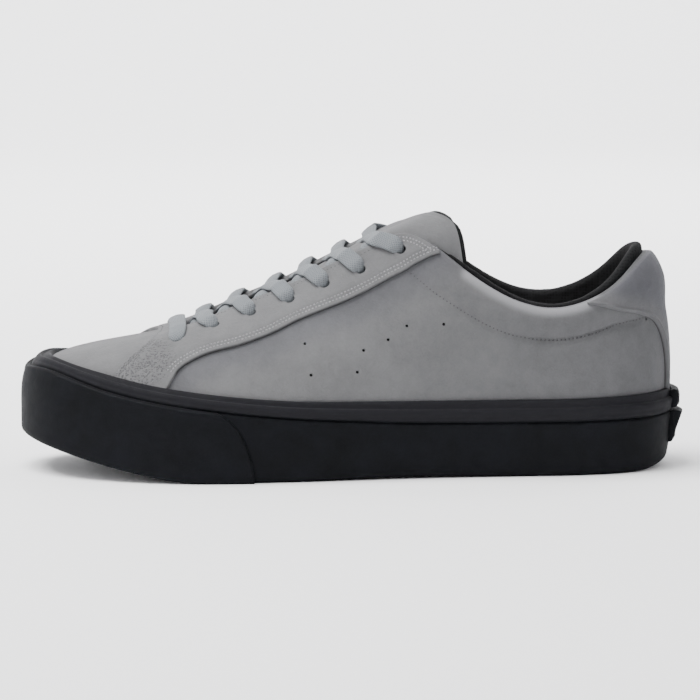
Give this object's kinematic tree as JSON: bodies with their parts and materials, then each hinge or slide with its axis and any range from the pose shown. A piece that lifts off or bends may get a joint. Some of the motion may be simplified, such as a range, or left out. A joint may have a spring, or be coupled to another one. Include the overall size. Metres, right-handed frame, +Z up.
{
  "type": "skateboarding shoe",
  "caption": "Low suede skateboarding shoe on a black vulcanised rubber sole, with a padded collar, tongue and flat laces.",
  "frame": {"origin": "on the ground under the middle of the shoe's length and width", "axes": "+X from toe to heel, -Y towards the outer side of a left shoe, +Z up"},
  "size_m": [0.2961, 0.1095, 0.1102],
  "materials": {
    "grey_suede": "brushed suede, matte",
    "black_rubber": "vulcanised rubber, satin",
    "grey_lace": "flat woven polyester",
    "black_lining": "knitted lining, matte",
    "sponge": "closed-cell sponge"
  },
  "bodies": {
    "root": {"outsole": "black_rubber", "midsole_filler": "sponge", "foxing": "black_rubber", "toe_bumper": "black_rubber", "heel_badge": "black_rubber", "heel_strip": "black_rubber", "insole": "black_lining", "upper": "grey_suede", "eyestay": "grey_suede", "heel_tab": "grey_suede", "tongue": "grey_suede", "lace_bar": "grey_lace", "lace_crossing_1": "grey_lace", "lace_crossing_2": "grey_lace", "lace_crossing_3": "grey_lace", "lace_crossing_4": "grey_lace", "lace_crossing_5": "grey_lace", "lace_crossing_6": "grey_lace"}
  },
  "joints": []
}
